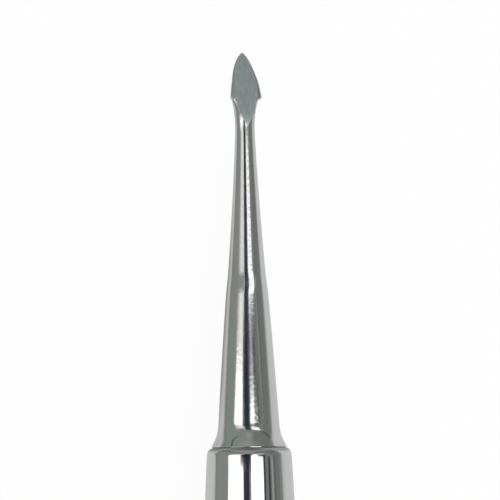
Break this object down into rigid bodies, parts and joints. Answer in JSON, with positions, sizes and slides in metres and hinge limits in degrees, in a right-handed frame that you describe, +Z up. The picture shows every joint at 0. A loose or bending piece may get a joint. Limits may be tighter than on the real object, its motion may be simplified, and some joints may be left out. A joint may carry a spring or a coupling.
{
  "type": "straight dental elevator",
  "caption": "Straight dental elevator: spade-shaped blade with a ground flat face on a round tapered steel shank, set in a hollow polished steel handle with a flat-sided grip.",
  "frame": {"origin": "middle of the footprint, on the surface that the grip's lowest flat lies on", "axes": "+Y along the instrument's axis towards the blade's tip, +Z up, +X to the right seen from above with the tip away; the blade's ground face looks up and 22.5 degrees towards +X"},
  "size_m": [0.0124, 0.1534, 0.0124],
  "materials": {
    "working_end": "polished shank with fine lengthwise marks, satin ground blade face",
    "handle": "mirror polish",
    "end_plug": "mirror polish"
  },
  "bodies": {
    "root": {"working_end": "working_end", "handle": "handle", "end_plug": "end_plug"}
  },
  "joints": []
}
